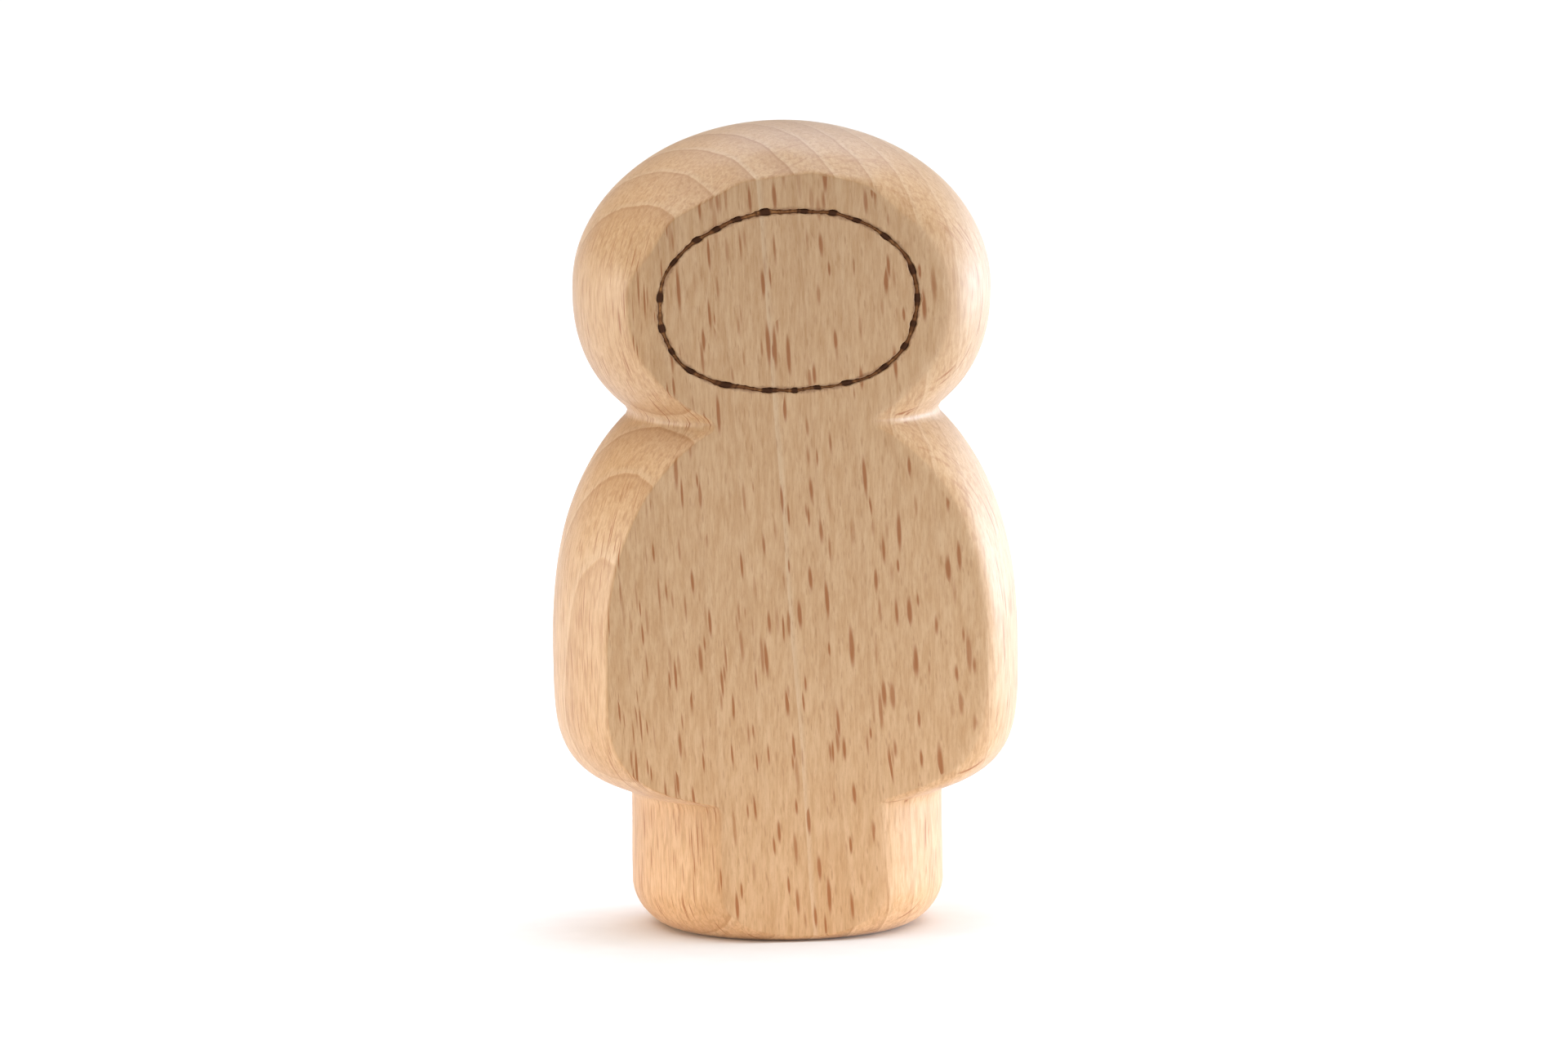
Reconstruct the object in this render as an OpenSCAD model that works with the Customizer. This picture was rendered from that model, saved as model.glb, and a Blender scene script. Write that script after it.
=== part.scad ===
// Wooden meeple: a small standing peg figure with a hooded head, a rounded body and a foot.
// The figure is turned on a lathe from a beech board, so its edge is round all the way about
// the Z axis, and the two broad faces of the board stay flat, one in front and one behind.
// An oval line is burnt into the front of the head.
// Frame: +Z up, the front looks along -Y, X runs across, the origin is the centre of the base.
// All lengths are in millimetres.

/* [Board] */
// Height from the table to the top of the head
total_h = 70; // [66:0.5:73]
// Thickness of the board, from the front face to the back face
thickness = 22.8; // [18:0.2:24]

/* [Head] */
// Diameter of the head at its widest
head_d = 36.2; // [34.4:0.2:40]
// Distance from the top of the head down to its widest place
head_dome_h = 14.2; // [12:0.1:16]
// Distance from the widest place of the head down to where its curve would close
head_chin_h = 13.8; // [12.5:0.1:15]
// Squareness of the lower half of the head, where 2 is an ellipse
head_chin_power = 2.4; // [2:0.1:3]
// Softness of the neck, the length over which the head and the body run together
neck_blend = 1.5; // [0.5:0.1:4]

/* [Body] */
// Diameter of the body at its widest
body_d = 40.4; // [34:0.2:44]
// Height of the widest place of the body above the table
body_wide_z = 24.4; // [22:0.1:26]
// Distance from the widest place up to where the shoulder curve would close
shoulder_h = 25.1; // [22:0.1:27]
// Squareness of the shoulders
shoulder_power = 2.35; // [2:0.05:3]
// Distance from the widest place down to the underside of the body
belly_h = 12.9; // [11:0.1:15]
// Squareness of the lower corners of the body
belly_power = 4.1; // [3:0.1:6]
// Softness of the corner between the underside of the body and the foot
foot_blend = 2.2; // [0.5:0.1:4]

/* [Foot] */
// Diameter of the foot
foot_d = 27; // [24:0.2:30]
// Diameter of the flat that stands on the table
base_d = 20; // [16:0.2:22]
// Height of the rounded lower edge of the foot
foot_round_h = 3.9; // [2:0.1:5]
// Fullness of that rounded edge, where 2 is a quarter of an ellipse
foot_round_power = 1.75; // [1.5:0.05:3]

/* [Burnt line] */
// Width across the outside of the oval line
line_w = 22.7; // [18:0.1:23.6]
// Height of the outside of the oval line
line_h = 15.9; // [12:0.1:17.6]
// Distance from the top of the head down to the middle of the oval
line_drop = 14.3; // [12.5:0.1:15.5]
// Distance from the middle of the face to the middle of the oval, to the right when positive
line_shift = -0.9; // [-1.2:0.1:1.2]
// Squareness of the upper half of the oval, where 2 is an ellipse
line_crown_power = 2.1; // [2:0.05:3]
// Squareness of the lower half of the oval
line_chin_power = 2.5; // [2:0.05:3]
// Width of the burnt line itself
line_stroke = 0.7; // [0.5:0.05:1.2]
// Depth that the hot tip sank into the wood
line_depth = 0.6; // [0.4:0.05:1]
// Distance from the wood's surface down to the surface of the char
char_recess = 0.1; // [0.05:0.05:0.25]

/* [Hidden] */
wood = "burlywood";
char = "saddlebrown";
head_z = total_h - head_dome_h;
front_y = -thickness / 2;
line_z = total_h - line_drop;
profile_steps = 120;
outline_steps = 72;
turned_fn = 180;
slab_margin = 10;

// One quarter of a superellipse: the radius at a distance u from its widest place.
function quarter(u, radius, reach, power) =
    radius * pow(max(0, 1 - pow(min(1, abs(u) / reach), power)), 1 / power);

// The larger of two radii, run together softly where both exist and are less than k apart.
function soft_max(a, b, k) =
    min(a, b) > 0
        ? max(a, b) + pow(max(k - abs(a - b), 0), 2) / (4 * k)
        : max(a, b);

function head_r(z) =
    z > head_z
        ? quarter(z - head_z, head_d / 2, head_dome_h, 2)
        : quarter(z - head_z, head_d / 2, head_chin_h, head_chin_power);

function body_r(z) =
    z > body_wide_z
        ? quarter(z - body_wide_z, body_d / 2, shoulder_h, shoulder_power)
        : quarter(z - body_wide_z, body_d / 2, belly_h, belly_power);

function foot_r(z) =
    z > body_wide_z
        ? 0
        : base_d / 2 + quarter(max(0, foot_round_h - z), (foot_d - base_d) / 2, foot_round_h, foot_round_power);

function figure_r(z) = soft_max(soft_max(head_r(z), body_r(z), neck_blend), foot_r(z), foot_blend);

// Heights at which the profile is drawn, closer together at the top and at the base.
function level(i) = total_h * (1 - cos(180 * i / profile_steps)) / 2;

function line_power(angle) = sin(angle) > 0 ? line_crown_power : line_chin_power;

// One point of the oval, inset from its outside by d.
function oval_point(angle, d) = [
    (line_w / 2 - d) * sign(cos(angle)) * pow(abs(cos(angle)), 2 / line_power(angle)),
    (line_h / 2 - d) * sign(sin(angle)) * pow(abs(sin(angle)), 2 / line_power(angle))
];

module turned_blank() {
    side = [for (i = [0:profile_steps]) [figure_r(level(i)), level(i)]];
    rotate_extrude($fn = turned_fn)
        polygon(concat([[0, 0]], side));
}

module board() {
    width = max(head_d, body_d) + slab_margin;
    translate([-width / 2, front_y, -slab_margin])
        cube([width, thickness, total_h + 2 * slab_margin]);
}

module oval(d) {
    polygon([for (i = [0:outline_steps - 1]) oval_point(360 * i / outline_steps, d)]);
}

// The ring of the burnt line, from y_near to y_far behind the plane of the front face.
module ring(y_near, y_far) {
    translate([line_shift, front_y + y_far, line_z])
        rotate([90, 0, 0])
            linear_extrude(height = y_far - y_near)
                difference() {
                    oval(0);
                    oval(line_stroke);
                }
}

module figure_body() {
    color(wood)
        difference() {
            intersection() {
                turned_blank();
                board();
            }
            ring(-1, line_depth);
        }
}

module face_outline() {
    color(char)
        ring(char_recess, line_depth);
}

figure_body();
face_outline();
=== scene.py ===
"""A wooden meeple: a turned beech peg figure, flat in front and behind, with an oval burnt into its head.

Lengths in this script are in millimetres until a mesh is made, and MM turns them into metres.
The frame is the CAD model's: +Z up, the front looks along -Y, the origin is the centre of the base.
"""

import math

import bmesh
import bpy
import numpy as np
from mathutils import Euler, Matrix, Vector, noise


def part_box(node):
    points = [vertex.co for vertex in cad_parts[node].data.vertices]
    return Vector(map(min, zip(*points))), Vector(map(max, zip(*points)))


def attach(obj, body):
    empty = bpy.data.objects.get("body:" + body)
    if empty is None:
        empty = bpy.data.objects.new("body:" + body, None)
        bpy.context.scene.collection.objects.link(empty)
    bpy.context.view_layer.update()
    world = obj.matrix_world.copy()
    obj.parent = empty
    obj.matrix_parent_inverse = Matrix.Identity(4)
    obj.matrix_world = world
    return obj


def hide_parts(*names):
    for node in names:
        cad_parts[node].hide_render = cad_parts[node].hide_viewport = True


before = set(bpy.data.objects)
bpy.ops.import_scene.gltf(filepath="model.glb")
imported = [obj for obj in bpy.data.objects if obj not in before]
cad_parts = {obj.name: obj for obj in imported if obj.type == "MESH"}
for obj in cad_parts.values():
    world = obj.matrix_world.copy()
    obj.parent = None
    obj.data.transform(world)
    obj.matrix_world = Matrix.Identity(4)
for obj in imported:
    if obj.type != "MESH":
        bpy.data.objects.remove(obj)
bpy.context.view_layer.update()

MM = 0.001

# The figure's three overall sizes come from the frame.
body_low, body_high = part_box("figure_body")
line_low, line_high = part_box("face_outline")
HEIGHT = (body_high.z - body_low.z) / MM
BODY_RADIUS = (body_high.x - body_low.x) / 2 / MM
HALF_THICK = (body_high.y - body_low.y) / 2 / MM

# The turned profile, as in the CAD source.
HEAD_RADIUS = 18.1
HEAD_DOME = 14.2
HEAD_CHIN = 13.8
CHIN_POWER = 2.4
NECK_BLEND = 1.5
BODY_WIDE_Z = 24.4
SHOULDER = 25.1
SHOULDER_POWER = 2.35
BELLY = 12.9
BELLY_POWER = 4.1
FOOT_RADIUS = 13.5
FOOT_BLEND = 2.2
BASE_RADIUS = 10.0
FOOT_ROUND = 3.9
FOOT_ROUND_POWER = 1.75

# The mesh of the wood: its cells, and how many columns go round its widest and narrowest rings.
CELL = 0.55
COLUMNS = 240
FEWEST_COLUMNS = 15
# Half the width of the strip of finer mesh along the edge of each flat face, and the cuts in its cells.
EDGE_STRIP = 0.75
EDGE_CUTS = 2
# The same for the strips along the burnt line, the second one inside the first.
LINE_STRIPS = ((1.1, 3), (0.6, 1))
# Only points in front of this plane can be on the flat front.
FRONT_Y = -0.9 * HALF_THICK

# The burnt line: the box of the char in the frame gives its size and place.
LINE_HALF_W = (line_high.x - line_low.x) / 2 / MM
LINE_HALF_H = (line_high.z - line_low.z) / 2 / MM
LINE_X = (line_high.x + line_low.x) / 2 / MM
LINE_Z = (line_high.z + line_low.z) / 2 / MM
LINE_STROKE = 0.5
# How square each quarter of the oval is: 2 is an ellipse, and more is squarer.
CROWN_POWER_LEFT = 1.95
CROWN_POWER_RIGHT = 2.22
CHIN_LINE_POWER = 2.5
# The groove's depth, and where its wall starts and ends, in half widths of the burn.
GROOVE_DEPTH = 0.4
GROOVE_WALL = (0.55, 1.12)
# The lip along the groove: its height, its place in half widths of the burn, and its width.
LIP_HEIGHT = 0.02
LIP_PLACE = 1.25
LIP_WIDTH = 0.09
# How far the char's edges lie below the flat front, how lumpy it is, and how far its middle bulges.
CHAR_RECESS = 0.14
CHAR_LUMP = 0.05
CHAR_BULGE = 0.1
# The mesh of the char: sections along the line, and sides round it.
CHAR_SECTIONS = 960
CHAR_SIDES = 10
# The mesh attribute that tells the char's material where the tip rested.
BURNT = "burnt"


# ---------------------------------------------------------------- small helpers


def smoothstep(low, high, value):
    t = np.clip((value - low) / (high - low), 0, 1)
    return t * t * (3 - 2 * t)


def soft_min(a, b, k):
    """The smaller of a and b, run together softly where they are less than k apart."""
    h = np.maximum(k - np.abs(a - b), 0)
    return np.minimum(a, b) - h * h / (4 * k)


def soft_max(a, b, k):
    """The larger of a and b, run together softly where both are more than none."""
    both = np.minimum(a, b) > 0
    h = np.where(both, np.maximum(k - np.abs(a - b), 0), 0)
    return np.maximum(a, b) + h * h / (4 * k)


def waves(points, scale, seed):
    """Smooth noise from -1 to 1 at each point, with bumps about scale millimetres apart."""
    shift = Vector((seed * 7.31, seed * 3.77, seed * 5.13))
    return np.array([noise.noise(Vector(p) / scale + shift) for p in points])


# ---------------------------------------------------------------- the turned shape


def quarter(u, radius, reach, power):
    """One quarter of a superellipse: the radius at a distance u from its widest place."""
    return radius * np.maximum(1 - np.minimum(np.abs(u) / reach, 1) ** power, 0) ** (1 / power)


def turned_radius(z):
    """The radius of the figure at height z, before the board's flat faces cut it."""
    head_z = HEIGHT - HEAD_DOME
    dome = quarter(z - head_z, HEAD_RADIUS, HEAD_DOME, 2)
    chin = quarter(z - head_z, HEAD_RADIUS, HEAD_CHIN, CHIN_POWER)
    head = np.where(z > head_z, dome, chin)
    shoulder = quarter(z - BODY_WIDE_Z, BODY_RADIUS, SHOULDER, SHOULDER_POWER)
    belly = quarter(z - BODY_WIDE_Z, BODY_RADIUS, BELLY, BELLY_POWER)
    body = np.where(z > BODY_WIDE_Z, shoulder, belly)
    rim = quarter(np.maximum(FOOT_ROUND - z, 0), FOOT_RADIUS - BASE_RADIUS, FOOT_ROUND, FOOT_ROUND_POWER)
    foot = np.where(z > BODY_WIDE_Z, 0, BASE_RADIUS + rim)
    return soft_max(soft_max(head, body, NECK_BLEND), foot, FOOT_BLEND)


def profile_rings():
    """(radius, height) of each ring of the mesh, evenly spaced along the profile from base to crown."""
    t = np.linspace(0, math.pi, 6001)
    z = HEIGHT * (1 - np.cos(t)) / 2
    r = turned_radius(z)
    r[-1] = 0
    r = np.concatenate([[0], r])
    z = np.concatenate([[0], z])
    along = np.concatenate([[0], np.cumsum(np.hypot(np.diff(r), np.diff(z)))])
    steps = int(along[-1] / CELL)
    at = np.linspace(0, along[-1], steps + 1)
    return list(zip(np.interp(at, along, r), np.interp(at, along, z)))


def column_count(radius):
    """Columns in a ring: fewer near the poles, so that no face is a sliver."""
    count = COLUMNS
    while count > FEWEST_COLUMNS and 2 * math.pi * radius / count < CELL / 2:
        count //= 2
    return count


def stitch(lower, upper):
    """Faces between two rings of vertex numbers, whose counts are equal or differ by a factor of two."""
    faces = []
    if len(lower) == len(upper):
        for i in range(len(lower)):
            j = (i + 1) % len(lower)
            faces.append((lower[i], lower[j], upper[j], upper[i]))
        return faces
    fine, coarse = (lower, upper) if len(lower) > len(upper) else (upper, lower)
    for i in range(len(coarse)):
        j = (i + 1) % len(coarse)
        a, b, c = fine[2 * i], fine[2 * i + 1], fine[(2 * i + 2) % len(fine)]
        faces += [(a, b, coarse[i]), (b, coarse[j], coarse[i]), (b, c, coarse[j])]
    return faces if fine is lower else [tuple(reversed(f)) for f in faces]


def turned_mesh():
    """The lathe's work before sanding: vertices in millimetres and faces, closed at both poles."""
    rings = profile_rings()
    points = [(0, 0, rings[0][1])]
    loops = []
    for radius, z in rings[1:-1]:
        count = column_count(radius)
        start = len(points)
        for i in range(count):
            angle = 2 * math.pi * i / count
            points.append((radius * math.cos(angle), radius * math.sin(angle), z))
        loops.append(list(range(start, start + count)))
    points.append((0, 0, rings[-1][1]))
    faces = []
    for lower, upper in zip(loops, loops[1:]):
        faces += stitch(lower, upper)
    first, last = loops[0], loops[-1]
    for i in range(len(first)):
        faces.append((0, first[(i + 1) % len(first)], first[i]))
    for i in range(len(last)):
        faces.append((len(points) - 1, last[i], last[(i + 1) % len(last)]))
    return points, faces


# ---------------------------------------------------------------- the burnt line's path


def line_radius(angle):
    """Distance from the oval's centre to the middle of the burnt line, with the hand's small wander."""
    half_w = LINE_HALF_W - LINE_STROKE / 2
    half_h = LINE_HALF_H - LINE_STROKE / 2
    c, s = np.abs(np.cos(angle)), np.abs(np.sin(angle))
    crown_power = np.where(np.cos(angle) < 0, CROWN_POWER_LEFT, CROWN_POWER_RIGHT)
    power = np.where(np.sin(angle) > 0, crown_power, CHIN_LINE_POWER)
    oval = ((c / half_w) ** power + (s / half_h) ** power) ** (-1 / power)
    wander = 0.06 * np.sin(7 * angle + 0.6) + 0.04 * np.sin(17 * angle + 2.1)
    return oval + wander


def line_rests(angle):
    """From 0 to 1: where the hot tip stopped for a moment and burnt a darker, wider dot."""
    step = 23 * angle + 2.2 * np.sin(2 * angle + 0.4) + 1.3 * np.sin(5 * angle + 1.1)
    rests = (0.5 + 0.5 * np.sin(step)) ** 4
    small = (0.5 + 0.5 * np.sin(61 * angle + 2 * np.sin(9 * angle))) ** 3
    return np.clip(rests + 0.45 * small, 0, 1)


def line_width(angle):
    """Width of the burn along the oval: a fine line with dots in it, thinnest along the bottom."""
    broad = 0.28 + 0.05 * np.sin(3 * angle + 1.9) + 0.03 * np.sin(8 * angle + 0.3)
    thin = 0.06 * np.exp(-(((angle + 1.45) / 0.5) ** 2))
    uneven = 0.32 + 0.08 * np.sin(9 * angle + 4.0)
    return broad - thin + uneven * line_rests(angle)


def line_place(x, z):
    """(distance from the middle of the burnt line, angle round the oval) of points on the front."""
    angle = np.arctan2(z - LINE_Z, x - LINE_X)
    return np.hypot(x - LINE_X, z - LINE_Z) - line_radius(angle), angle


# ---------------------------------------------------------------- the wood


# Flats that the sanding left on the dome along the top of the face: (x of the middle, depth).
FLATS = ((-13.0, 0.26), (-7.6, 0.34), (-1.9, 0.3), (3.6, 0.2), (9.2, 0.26))
FLAT_BLEND = 0.12
# How far the sanding rounded the edges of the flat faces: the front's left edge, what the front's right
# edge has more, what it has more again on the head and on the belly, and the back's edge.
LEFT_EDGE = 0.2
RIGHT_EDGE = 1.4
RIGHT_HEAD_EDGE = 0.9
RIGHT_BELLY_EDGE = 0.8
BACK_EDGE = 0.75
# The bevel sanded on the front's left: where it starts and its slope, on the body and then on the head.
BEVEL_X = (-13.4, -11.9)
BEVEL_SLOPE = (0.12, 0.32)
BEVEL_BLEND = 0.35


def edge_softness(p):
    """How far the sanding rounded the edge of the flat faces: crisp on the left, softer on the right."""
    right = smoothstep(2, 12, p[:, 0])
    head = smoothstep(44, 48, p[:, 2]) * smoothstep(67, 62, p[:, 2])
    belly = smoothstep(24, 16, p[:, 2]) * smoothstep(8, 12, p[:, 2])
    front = LEFT_EDGE + (RIGHT_EDGE + RIGHT_HEAD_EDGE * head + RIGHT_BELLY_EDGE * belly) * right
    return np.where(p[:, 1] < 0, front, BACK_EDGE) + 0.1 * waves(p, 6.0, 3)


def face_limit(p):
    """How far from the middle plane the flat faces lie: the front is sanded back a little at its left."""
    head = smoothstep(44, 47, p[:, 2])
    start = BEVEL_X[0] + (BEVEL_X[1] - BEVEL_X[0]) * head
    slope = BEVEL_SLOPE[0] + (BEVEL_SLOPE[1] - BEVEL_SLOPE[0]) * head
    bevel = HALF_THICK - slope * (start - p[:, 0])
    return np.where(p[:, 1] < 0, soft_min(HALF_THICK, bevel, BEVEL_BLEND), HALF_THICK)


def sand_flats(p):
    """Presses the small flats into the dome, each one square to the dome at the edge of the face."""
    centre = np.array([0, 0, HEIGHT - HEAD_DOME])
    axes = np.array([HEAD_RADIUS, HEAD_RADIUS, HEAD_DOME])
    for x, depth in FLATS:
        up = math.sqrt(1 - (x * x + HALF_THICK**2) / HEAD_RADIUS**2)
        touch = np.array([x, -HALF_THICK, up * HEAD_DOME])
        normal = touch / axes**2
        normal /= np.linalg.norm(normal)
        height = (p - centre - touch) @ normal
        press = (soft_min(height, -depth, FLAT_BLEND) - height) * (height > -depth - 1)
        p = p + press[:, None] * normal
    return p


def shape_wood(points):
    """Moves the turned points to the finished surface: hand-sanded, with its two flat faces."""
    p = np.array(points)
    radius = np.hypot(p[:, 0], p[:, 1])
    outward = p[:, :2] / np.maximum(radius, 1e-9)[:, None]
    sanding = 0.07 * waves(p, 11.0, 1) + 0.025 * waves(p, 3.5, 2)
    sanding *= smoothstep(0, 4, radius) * smoothstep(0, 2, p[:, 2])
    p[:, :2] += outward * sanding[:, None]
    p = sand_flats(p)
    depth = soft_min(np.abs(p[:, 1]), face_limit(p), edge_softness(p))
    p[:, 1] = np.sign(p[:, 1]) * depth
    return p


def refine(bm, cuts, wanted):
    """Cuts up the edges of the mesh whose middle is wanted."""
    chosen = [e for e in bm.edges if wanted((e.verts[0].co + e.verts[1].co) / 2)]
    bmesh.ops.subdivide_edges(bm, edges=chosen, cuts=cuts, use_grid_fill=True)


def near_edge(middle):
    """A test for refine: where a flat face meets the turned surface."""
    return abs(abs(middle.y) - HALF_THICK) < EDGE_STRIP


def near_line(band):
    """A test for refine: within band of the middle of the burnt line, on the front."""
    return lambda middle: middle.y < FRONT_Y and abs(line_place(middle.x, middle.z)[0]) < band


def refined_mesh(points, faces):
    """The turned mesh, finer along the edges of the flat faces and along the burnt line."""
    bm = bmesh.new()
    verts = [bm.verts.new(p) for p in points]
    for face in faces:
        bm.faces.new([verts[i] for i in face])
    refine(bm, EDGE_CUTS, near_edge)
    for band, cuts in LINE_STRIPS:
        refine(bm, cuts, near_line(band))
    bm.verts.index_update()
    points = [tuple(v.co) for v in bm.verts]
    faces = [tuple(v.index for v in f.verts) for f in bm.faces]
    bm.free()
    return points, faces


def cut_groove(p):
    """Sinks the burnt line's groove into the flat front of the head, with a slight lip along it."""
    away, angle = line_place(p[:, 0], p[:, 2])
    half = line_width(angle) / 2
    wall = 1 - smoothstep(*GROOVE_WALL, np.abs(away) / half)
    lip = LIP_HEIGHT * np.exp(-(((np.abs(away) - half * LIP_PLACE) / LIP_WIDTH) ** 2))
    p[:, 1] += (GROOVE_DEPTH * wall - lip) * (p[:, 1] < FRONT_Y)
    return p


def new_object(name, points, faces):
    """A smooth-shaded object, from points in millimetres."""
    mesh = bpy.data.meshes.new(name)
    mesh.from_pydata([tuple(c * MM for c in p) for p in points], [], faces)
    mesh.validate()
    mesh.polygons.foreach_set("use_smooth", [True] * len(mesh.polygons))
    obj = bpy.data.objects.new(name, mesh)
    bpy.context.scene.collection.objects.link(obj)
    return obj


def make_wood():
    points, faces = refined_mesh(*turned_mesh())
    return new_object("wood_figure", cut_groove(shape_wood(points)), faces)


def make_char():
    """The charred skin in the groove: a closed, lumpy ring just under the surface of the wood."""
    points = []
    for i in range(CHAR_SECTIONS):
        angle = 2 * math.pi * i / CHAR_SECTIONS - math.pi
        middle = float(line_radius(angle))
        half = float(line_width(angle)) / 2
        for j in range(CHAR_SIDES):
            turn = 2 * math.pi * j / CHAR_SIDES
            across = middle + half * 0.98 * math.cos(turn)
            deep = math.sin(turn)
            x, z = across * math.cos(angle), across * math.sin(angle)
            if deep < 0:
                lump = CHAR_LUMP * noise.noise(Vector((x, 3.0, z)) * 4)
                level = CHAR_RECESS + lump - CHAR_BULGE * deep * deep
            else:
                level = GROOVE_DEPTH + 0.05 + 0.03 * deep * deep
            points.append((LINE_X + x, level - HALF_THICK, LINE_Z + z))
    faces = []
    for i in range(CHAR_SECTIONS):
        here, there = i * CHAR_SIDES, (i + 1) % CHAR_SECTIONS * CHAR_SIDES
        for j in range(CHAR_SIDES):
            m = (j + 1) % CHAR_SIDES
            faces.append((here + j, here + m, there + m, there + j))
    char = new_object("char_line", points, faces)
    angles = np.linspace(-math.pi, math.pi, CHAR_SECTIONS, endpoint=False)
    burnt = char.data.attributes.new(BURNT, "FLOAT", "POINT")
    burnt.data.foreach_set("value", np.repeat(line_rests(angles), CHAR_SIDES))
    return char


# ---------------------------------------------------------------- materials


class Graph:
    """Short calls for building one material's node tree."""

    def __init__(self, name):
        self.material = bpy.data.materials.new(name)
        self.material.use_nodes = True
        self.tree = self.material.node_tree
        self.tree.nodes.clear()

    def node(self, kind, inputs=None, **settings):
        made = self.tree.nodes.new(kind)
        for key, value in settings.items():
            setattr(made, key, value)
        for key, value in (inputs or {}).items():
            self.put(made.inputs[key], value)
        return made

    def put(self, socket, value):
        if isinstance(value, bpy.types.NodeSocket):
            self.tree.links.new(value, socket)
        else:
            socket.default_value = value

    def math(self, operation, *values):
        made = self.node("ShaderNodeMath", operation=operation)
        for socket, value in zip(made.inputs, values):
            self.put(socket, value)
        return made.outputs[0]

    def less(self, value, share=1.0):
        """What is left of 1 when a share of value is taken away."""
        return self.math("SUBTRACT", 1.0, self.math("MULTIPLY", value, share))

    def ramp(self, value, low, high, out_low=0.0, out_high=1.0):
        """Smooth step of value from low to high, scaled to out_low and out_high."""
        made = self.node("ShaderNodeMapRange", interpolation_type="SMOOTHSTEP", clamp=True)
        for key, number in (("Value", value), ("From Min", low), ("From Max", high)):
            self.put(made.inputs[key], number)
        for key, number in (("To Min", out_low), ("To Max", out_high)):
            self.put(made.inputs[key], number)
        return made.outputs[0]

    def axes(self, vector):
        """The x, y and z of a vector."""
        return self.node("ShaderNodeSeparateXYZ", {"Vector": vector}).outputs[:3]

    def place(self):
        """The place on the object, in millimetres."""
        metres = self.node("ShaderNodeTexCoord").outputs["Object"]
        return self.node("ShaderNodeVectorMath", {0: metres, "Scale": 1 / MM}, operation="SCALE").outputs[0]

    def vector(self, x, y, z):
        return self.node("ShaderNodeCombineXYZ", {"X": x, "Y": y, "Z": z}).outputs[0]

    def noise(self, vector, scale, detail, roughness=0.5):
        settings = {"Vector": vector, "Scale": scale, "Detail": detail, "Roughness": roughness}
        return self.node("ShaderNodeTexNoise", settings).outputs["Fac"]

    def mix(self, share, a, b, blend="MIX"):
        made = self.node("ShaderNodeMix", data_type="RGBA", blend_type=blend)
        self.put(made.inputs[0], share)
        self.put(made.inputs[6], a)
        self.put(made.inputs[7], b)
        return made.outputs[2]


def linear(red, green, blue):
    """A colour given in sRGB from 0 to 255, as the renderer's linear values."""
    values = []
    for c in (red, green, blue):
        c /= 255
        values.append(c / 12.92 if c <= 0.04045 else ((c + 0.055) / 1.055) ** 2.4)
    return (*values, 1.0)


# Where the tree's heart lay, seen from above: far off in front and to the left of the figure.
PITH_X = -75.0
PITH_Y = -45.0
RING_GAP = 3.15
# The ring, counted from the heart, whose pale start shows as a stripe down the front.
PALE_RING = 25.0
# The trunk's taper: how far each ring moves towards the heart for each millimetre above TAPER_FROM.
TAPER = 0.07
TAPER_FROM = 66.0


def spread(g, x, y, z, wide, tall):
    """A texture position whose bumps are wide millimetres across and tall millimetres high."""
    return g.vector(g.math("DIVIDE", x, wide), g.math("DIVIDE", y, wide), g.math("DIVIDE", z, tall))


def wood_space(g, x, y, z):
    """The place in the tree, with a real tree's wander: (x and y from the heart, across, along)."""
    drift = g.math("SUBTRACT", g.noise(spread(g, x, y, z, 14.0, 45.0), 1.0, 1.0), 0.5)
    fine = g.math("SUBTRACT", g.noise(spread(g, x, y, z, 2.6, 14.0), 1.0, 2.0), 0.5)
    shift = g.math("ADD", g.math("MULTIPLY", drift, 1.4), g.math("MULTIPLY", fine, 0.5))
    lean = g.math("MULTIPLY", g.math("SUBTRACT", z, TAPER_FROM), TAPER)
    dx = g.math("SUBTRACT", g.math("ADD", g.math("ADD", x, shift), lean), PITH_X)
    dy = g.math("SUBTRACT", y, PITH_Y)
    across = g.math("SQRT", g.math("ADD", g.math("MULTIPLY", dx, dx), g.math("MULTIPLY", dy, dy)))
    along = g.math("MULTIPLY", g.math("ARCTAN2", dy, dx), math.hypot(PITH_X, PITH_Y))
    return dx, dy, across, along


def facing(g, dx, dy, across):
    """(flat, hidden): how nearly the surface is one of the flat faces, and how little of the rays it shows.

    The rays fade where the turned surface runs along them, and on end grain.
    """
    normal_x, normal_y, normal_z = g.axes(g.node("ShaderNodeTexCoord").outputs["Normal"])
    front = g.math("ABSOLUTE", normal_y)
    flat = g.ramp(front, 0.93, 0.975)
    turned = g.math("SUBTRACT", g.math("MULTIPLY", normal_x, dy), g.math("MULTIPLY", normal_y, dx))
    quarter_cut = g.ramp(g.math("DIVIDE", g.math("ABSOLUTE", turned), across), 0.84, 0.94)
    quarter_cut = g.math("MULTIPLY", quarter_cut, g.ramp(front, 0.985, 0.997, 1.0, 0.0))
    end_grain = g.ramp(normal_z, 0.2, 0.6, 0.0, 0.75)
    return flat, g.math("MAXIMUM", quarter_cut, end_grain)


def ring_strength(g, number, across, flat, x, z):
    """How plain each ring is: they differ, and are faint on the flat faces and to the right.

    On the head, the rings nearest the tree's heart are left out.
    """
    own = g.node("ShaderNodeTexWhiteNoise", {"W": number}, noise_dimensions="1D").outputs["Value"]
    strength = g.math("MULTIPLY", g.math("ADD", g.math("MULTIPLY", own, 0.5), 0.5), g.less(flat, 0.75))
    inner = g.math("MULTIPLY", g.ramp(across, 70.0, 72.0, 1.0, 0.0), g.ramp(z, 42.0, 47.0))
    strength = g.math("MULTIPLY", strength, g.less(inner))
    return g.math("MULTIPLY", strength, g.ramp(x, 5.0, 14.0, 1.0, 0.45))


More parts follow.
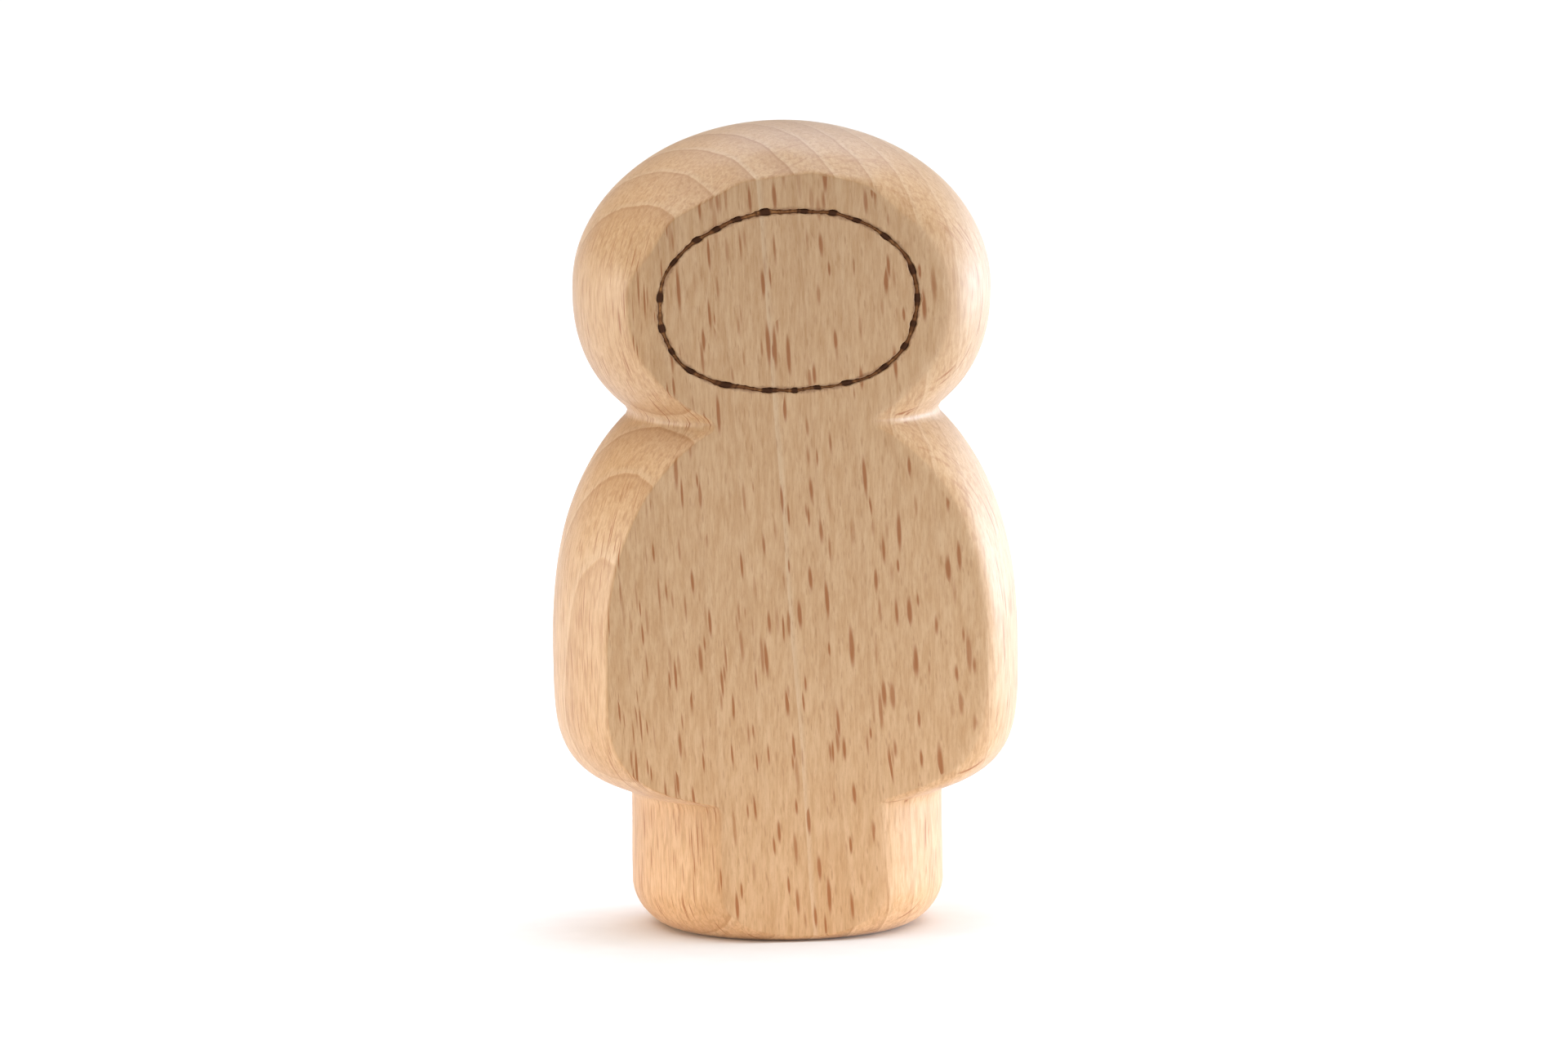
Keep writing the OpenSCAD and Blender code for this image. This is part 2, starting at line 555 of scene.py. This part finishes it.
def growth_rings(g, across, flat, x, z):
    """(late wood, early wood): the dark end of each ring, and the pale start of the next one."""
    count = g.math("DIVIDE", across, RING_GAP)
    phase = g.math("FRACT", count)
    number = g.math("FLOOR", count)
    strength = ring_strength(g, number, across, flat, x, z)
    stripe = g.math("COMPARE", number, PALE_RING, 0.5)
    broad = g.ramp(phase, 0.3, 1.0, 0.0, 0.65)
    edge = g.ramp(phase, 0.89, 0.96, 0.0, 0.6)
    fall = g.ramp(phase, 0.975, 1.0, 1.0, 0.0)
    late = g.math("MULTIPLY", g.math("MULTIPLY", g.math("ADD", broad, edge), fall), strength)
    start = g.ramp(phase, 0.0, 0.2, 1.0, 0.0)
    early = g.math("MULTIPLY", start, g.math("MAXIMUM", strength, stripe))
    return late, early


def flecks(g, along, z, across, cell, size, share, seed):
    """The wood's rays, cut open: spindles from 0 (none) to 1 (the middle of one).

    cell is the spacing of the rays along the rings, up and across the rings, size their length
    as a share of it, and share how many of the cells hold a ray.
    """
    wide, tall, deep = cell
    place = g.vector(
        g.math("ADD", g.math("DIVIDE", along, wide), seed),
        g.math("DIVIDE", z, tall),
        g.math("DIVIDE", across, deep),
    )
    voronoi = g.node("ShaderNodeTexVoronoi", {"Vector": place, "Scale": 1.0}, feature="F1")
    own = g.node("ShaderNodeSeparateColor", {"Color": voronoi.outputs["Color"]})
    chosen = g.ramp(own.outputs[0], 1 - share, 1 - share * 0.6, 0.4, 1.0)
    chosen = g.math("MULTIPLY", chosen, g.math("GREATER_THAN", own.outputs[0], 1 - share))
    reach = g.math("MULTIPLY", g.math("ADD", g.math("MULTIPLY", own.outputs[1], 0.55), 0.45), size)
    inside = g.math("DIVIDE", voronoi.outputs["Distance"], reach)
    return g.math("MULTIPLY", g.ramp(inside, 0.4, 1.0, 1.0, 0.0), chosen)


def scorch(g, mm):
    """From 0 to 1: how brown the wood is, close to the burnt line on the front of the head."""
    x, y, z = g.axes(mm)
    x = g.math("SUBTRACT", x, LINE_X)
    up = g.math("SUBTRACT", z, LINE_Z)
    half_w, half_h = LINE_HALF_W - LINE_STROKE / 2, LINE_HALF_H - LINE_STROKE / 2
    left = g.math("LESS_THAN", x, 0.0)
    above = g.math("GREATER_THAN", up, 0.0)
    crown = g.math("MULTIPLY", left, CROWN_POWER_LEFT - CROWN_POWER_RIGHT)
    crown = g.math("ADD", crown, CROWN_POWER_RIGHT - CHIN_LINE_POWER)
    power = g.math("ADD", g.math("MULTIPLY", above, crown), CHIN_LINE_POWER)
    part_x = g.math("POWER", g.math("ABSOLUTE", g.math("DIVIDE", x, half_w)), power)
    part_z = g.math("POWER", g.math("ABSOLUTE", g.math("DIVIDE", up, half_h)), power)
    shape = g.math("POWER", g.math("ADD", part_x, part_z), g.math("DIVIDE", 1.0, power))
    middle = g.math("SQRT", g.math("ADD", g.math("MULTIPLY", x, x), g.math("MULTIPLY", up, up)))
    away = g.math("ABSOLUTE", g.math("SUBTRACT", middle, g.math("DIVIDE", middle, shape)))
    ragged = g.math("MULTIPLY", g.math("SUBTRACT", g.noise(mm, 2.6, 3.0, 0.6), 0.5), 0.5)
    near = g.ramp(g.math("ADD", away, ragged), 0.12, 0.42, 1.0, 0.0)
    return g.math("MULTIPLY", near, g.math("LESS_THAN", y, FRONT_Y))


# Painted shade: darker at the head than at the foot, and on the flat faces than on the turned edge.
HEAD_PAINTED_SHADE = 0.16
FLAT_PAINTED_SHADE = 0.1
# Painted light: the foot is paler and warmer still, for the warm light bounced up from the floor.
FOOT_PAINTED_LIGHT = 0.19
FOOT_PAINTED_WARMTH = 0.06

PALE = linear(210, 172, 130)
TAN = linear(192, 149, 103)
DEEP = linear(164, 115, 69)
EARLY_WOOD = linear(214, 186, 152)
RAY_BROWN = linear(151, 83, 22)
SCORCHED = linear(112, 66, 30)

# The wood's fine patterns: name, width and height of a bump in millimetres, detail and roughness.
PATTERNS = (
    ("patches", 3.0, 9.0, 2.0, 0.5),
    ("mottle", 0.5, 2.8, 2.0, 0.5),
    ("strokes", 0.35, 2.4, 1.0, 0.5),
    ("streaks", 0.22, 1.9, 2.0, 0.55),
    ("pores", 0.1, 0.5, 1.0, 0.5),
    ("fibres", 0.09, 0.8, 3.0, 0.65),
)
# The rays, as flecks takes them: cell, size, share and seed.
LARGE_RAYS = (
    ((0.27, 5.2, 6.0), 0.48, 0.46, 0.0),
    ((0.27, 3.6, 6.0), 0.47, 0.42, 31.7),
)
SMALL_RAYS = ((0.13, 1.5, 3.0), 0.46, 0.5, 12.3)


def ray_flecks(g, along, z, across, hidden):
    """(large, small): the rays' brown flecks, where the surface shows them."""
    shown = g.less(hidden)
    large = g.math("MAXIMUM", *(flecks(g, along, z, across, *rays) for rays in LARGE_RAYS))
    small = flecks(g, along, z, across, *SMALL_RAYS)
    half_shown = g.math("ADD", g.math("MULTIPLY", shown, 0.5), 0.5)
    return g.math("MULTIPLY", large, shown), g.math("MULTIPLY", small, half_shown)


def fine_patterns(g, x, y, z, flat):
    """The wood's fine patterns by name, each from 0 to 1."""
    made = {}
    for name, wide, tall, detail, roughness in PATTERNS:
        made[name] = g.noise(spread(g, x, y, z, wide, tall), 1.0, detail, roughness)
    made["pores"] = g.ramp(made["pores"], 0.62, 0.78)
    made["strokes"] = g.math("MULTIPLY", g.ramp(made["strokes"], 0.5, 0.68, 0.0, 0.35), g.less(flat))
    return made


def wood_colour(g, fine, late, early, large, small):
    """The wood's colour: its base tones, then the rings, the fibres, the pores and the rays' flecks."""
    tone = g.math("ADD", g.math("MULTIPLY", fine["streaks"], 0.5), g.math("MULTIPLY", fine["mottle"], 0.4))
    tone = g.math("ADD", tone, g.math("MULTIPLY", fine["patches"], 0.1))
    layers = (
        (g.ramp(tone, 0.32, 0.68), TAN),
        (g.math("MULTIPLY", late, 0.66), DEEP),
        (g.math("MULTIPLY", early, 0.5), EARLY_WOOD),
        (g.ramp(fine["fibres"], 0.5, 0.75, 0.0, 0.35), DEEP),
        (g.ramp(fine["fibres"], 0.5, 0.28, 0.0, 0.35), PALE),
        (g.math("MULTIPLY", fine["pores"], 0.25), DEEP),
        (fine["strokes"], DEEP),
        (g.math("MULTIPLY", small, 0.4), DEEP),
        (g.math("MULTIPLY", large, 0.85), RAY_BROWN),
    )
    colour = PALE
    for share, layer in layers:
        colour = g.mix(share, colour, layer)
    return colour


def paint_light_and_shade(g, colour, z, flat):
    """The colour with painted shade towards the head and on the flat faces, and painted bounced light,
    paler and warmer, at the foot.
    """
    level = g.math("DIVIDE", g.math("SUBTRACT", z, HEIGHT / 2), HEIGHT / 2)
    below = g.math("POWER", g.math("MAXIMUM", g.math("MULTIPLY", level, -1.0), 0.0), 2.0)
    shade = g.math("SUBTRACT", g.less(level, HEAD_PAINTED_SHADE), g.math("MULTIPLY", flat, FLAT_PAINTED_SHADE))
    # Painted bounced light: paler and warmer towards the foot.
    shade = g.math("ADD", shade, g.math("MULTIPLY", below, FOOT_PAINTED_LIGHT))
    painted_warmth = g.math("MULTIPLY", below, FOOT_PAINTED_WARMTH)
    red, blue = g.math("ADD", shade, painted_warmth), g.math("SUBTRACT", shade, painted_warmth)
    return g.mix(1.0, colour, g.vector(red, shade, blue), "MULTIPLY")


def wood_relief(g, fine, large):
    """The normal of the sanded surface: raised fibres, sunk pores and rays."""
    height = g.math("MULTIPLY", fine["fibres"], 0.5)
    height = g.math("SUBTRACT", height, g.math("MULTIPLY", fine["pores"], 0.35))
    height = g.math("SUBTRACT", height, g.math("MULTIPLY", large, 0.25))
    height = g.math("ADD", height, g.math("MULTIPLY", fine["streaks"], 0.4))
    return g.node("ShaderNodeBump", {"Height": height, "Strength": 0.25, "Distance": 0.00008}).outputs[0]


def beech_material():
    g = Graph("beech")
    mm = g.place()
    x, y, z = g.axes(mm)
    dx, dy, across, along = wood_space(g, x, y, z)
    flat, hidden = facing(g, dx, dy, across)
    late, early = growth_rings(g, across, flat, x, z)
    large, small = ray_flecks(g, along, z, across, hidden)
    fine = fine_patterns(g, x, y, z, flat)
    # Painted shade towards the head and on the flat faces, and painted warm bounced light at the foot.
    colour = paint_light_and_shade(g, wood_colour(g, fine, late, early, large, small), z, flat)
    colour = g.mix(g.math("MULTIPLY", scorch(g, mm), 0.6), colour, SCORCHED)
    shader = g.node(
        "ShaderNodeBsdfPrincipled",
        {
            "Base Color": colour,
            "Roughness": g.math("ADD", g.math("MULTIPLY", fine["fibres"], 0.16), 0.36),
            "Normal": wood_relief(g, fine, large),
            "Specular IOR Level": 0.5,
            "IOR": 1.5,
            "Sheen Weight": 0.15,
            "Sheen Roughness": 0.4,
        },
    )
    g.node("ShaderNodeOutputMaterial", {"Surface": shader.outputs[0]})
    return g.material


def char_material():
    g = Graph("burnt_wood")
    mm = g.place()
    lumps = g.noise(mm, 3.2, 4.0, 0.65)
    patches = g.noise(mm, 0.9, 2.0, 0.5)
    rests = g.node("ShaderNodeAttribute", attribute_name=BURNT).outputs["Fac"]
    light = g.mix(g.ramp(patches, 0.4, 0.65), linear(112, 72, 42), linear(158, 112, 68))
    brown = g.mix(g.ramp(lumps, 0.35, 0.7), linear(106, 65, 34), light)
    colour = g.mix(g.ramp(rests, 0.2, 0.75), brown, linear(62, 34, 15))
    bump = g.node("ShaderNodeBump", {"Height": lumps, "Strength": 0.6, "Distance": 0.0001})
    shader = g.node(
        "ShaderNodeBsdfPrincipled",
        {
            "Base Color": colour,
            "Roughness": g.ramp(lumps, 0.3, 0.7, 0.5, 0.8),
            "Normal": bump.outputs[0],
            "Specular IOR Level": 0.12,
        },
    )
    g.node("ShaderNodeOutputMaterial", {"Surface": shader.outputs[0]})
    return g.material


def floor_material():
    g = Graph("studio_floor")
    place = g.node("ShaderNodeTexCoord").outputs["Object"]
    tone = g.ramp(g.noise(place, 300.0, 2.0), 0.3, 0.7)
    colour = g.mix(tone, (0.9, 0.9, 0.9, 1.0), (0.92, 0.92, 0.92, 1.0))
    surface = {"Base Color": colour, "Roughness": 0.9, "Specular IOR Level": 0.1}
    shader = g.node("ShaderNodeBsdfPrincipled", surface)
    g.node("ShaderNodeOutputMaterial", {"Surface": shader.outputs[0]})
    return g.material


# ---------------------------------------------------------------- the studio


CAMERA_DISTANCE = 0.99
CAMERA_AZIMUTH = -7.4
CAMERA_ELEVATION = 7.7
CAMERA_ROLL = 0.65
CAMERA_LENS = 262.0
FLOOR_RADIUS = 3.0
# The light from the world: how far up, from 0 at the horizon to 1 overhead, and how bright.
SKY = ((0.08, 0.9), (0.14, 0.0), (0.5, 0.0), (0.8, 2.0))


def add_camera():
    centre = Vector((0, 0, HEIGHT / 2 * MM))
    azimuth, elevation = math.radians(CAMERA_AZIMUTH), math.radians(CAMERA_ELEVATION)
    level = math.cos(elevation)
    towards = Vector((math.sin(azimuth) * level, -math.cos(azimuth) * level, math.sin(elevation)))
    data = bpy.data.cameras.new("camera")
    data.lens = CAMERA_LENS
    data.clip_start = 0.05
    data.clip_end = 50
    camera = bpy.data.objects.new("camera", data)
    camera.location = centre + towards * CAMERA_DISTANCE
    look = (-towards).to_track_quat("-Z", "Y").to_matrix()
    roll = Euler((0, 0, math.radians(-CAMERA_ROLL))).to_matrix()
    camera.rotation_euler = (look @ roll).to_euler()
    bpy.context.scene.collection.objects.link(camera)
    bpy.context.scene.camera = camera


def add_softbox(name, place, size, watts, colour=(1, 1, 1)):
    """A rectangular lamp at place, in metres, that looks at the middle of the figure."""
    data = bpy.data.lights.new(name, "AREA")
    data.shape = "RECTANGLE"
    data.size, data.size_y = size
    data.energy = watts
    data.color = colour
    lamp = bpy.data.objects.new(name, data)
    lamp.location = place
    aim = Vector((0, 0, HEIGHT / 2 * MM)) - Vector(place)
    lamp.rotation_euler = aim.to_track_quat("-Z", "Y").to_euler()
    lamp.visible_camera = False
    bpy.context.scene.collection.objects.link(lamp)


def add_world():
    """White light from overhead and from along the horizon, and none in between."""
    world = bpy.data.worlds.new("studio")
    bpy.context.scene.world = world
    world.use_nodes = True
    tree = world.node_tree
    place = tree.nodes.new("ShaderNodeTexCoord")
    axes = tree.nodes.new("ShaderNodeSeparateXYZ")
    ramp = tree.nodes.new("ShaderNodeValToRGB")
    background = tree.nodes["Background"]
    tree.links.new(place.outputs["Generated"], axes.inputs["Vector"])
    tree.links.new(axes.outputs["Z"], ramp.inputs["Fac"])
    tree.links.new(ramp.outputs["Color"], background.inputs["Color"])
    stops = ramp.color_ramp.elements
    stops[0].position, stops[1].position = SKY[0][0], SKY[1][0]
    for up, _ in SKY[2:]:
        stops.new(up)
    for stop, (_, level) in zip(stops, SKY):
        stop.color = (level, level, level, 1)


def add_floor():
    bpy.ops.mesh.primitive_circle_add(vertices=96, radius=FLOOR_RADIUS, fill_type="NGON")
    floor = bpy.context.object
    floor.name = "studio_floor"
    floor.data.materials.append(floor_material())


# The lamps: name, place and size in metres, watts, colour.
LAMPS = (
    ("left_softbox", (-0.45, 0.05, 0.045), (0.3, 0.2), 1.28, (1.08, 1.02, 0.92)),
    ("right_softbox", (0.45, 0.1, 0.09), (0.4, 0.3), 0.78, (0.78, 1.0, 1.24)),
    ("right_rim", (0.33, 0.33, 0.07), (0.3, 0.2), 0.35, (0.85, 1.0, 1.2)),
    ("right_strip", (0.4, 0.05, 0.035), (0.35, 0.08), 0.85, (0.82, 1.0, 1.26)),
    ("right_fill", (0.35, -0.2, 0.05), (0.3, 0.1), 0.5, (0.95, 1.0, 1.1)),
    ("top_back_softbox", (0.1, 0.35, 0.4), (0.3, 0.3), 0.41, (0.82, 1.03, 1.36)),
)


def add_studio():
    add_world()
    add_floor()
    for lamp in LAMPS:
        add_softbox(*lamp)
    bpy.context.scene.view_settings.view_transform = "Standard"


# ---------------------------------------------------------------- putting it together


def finish_piece(piece, material, slot, *nodes):
    piece.data.materials.append(material)
    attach(piece, "root")
    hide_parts(*nodes)


add_camera()
add_studio()
finish_piece(make_wood(), beech_material(), "beech", "figure_body")
finish_piece(make_char(), char_material(), "burnt_wood", "face_outline")
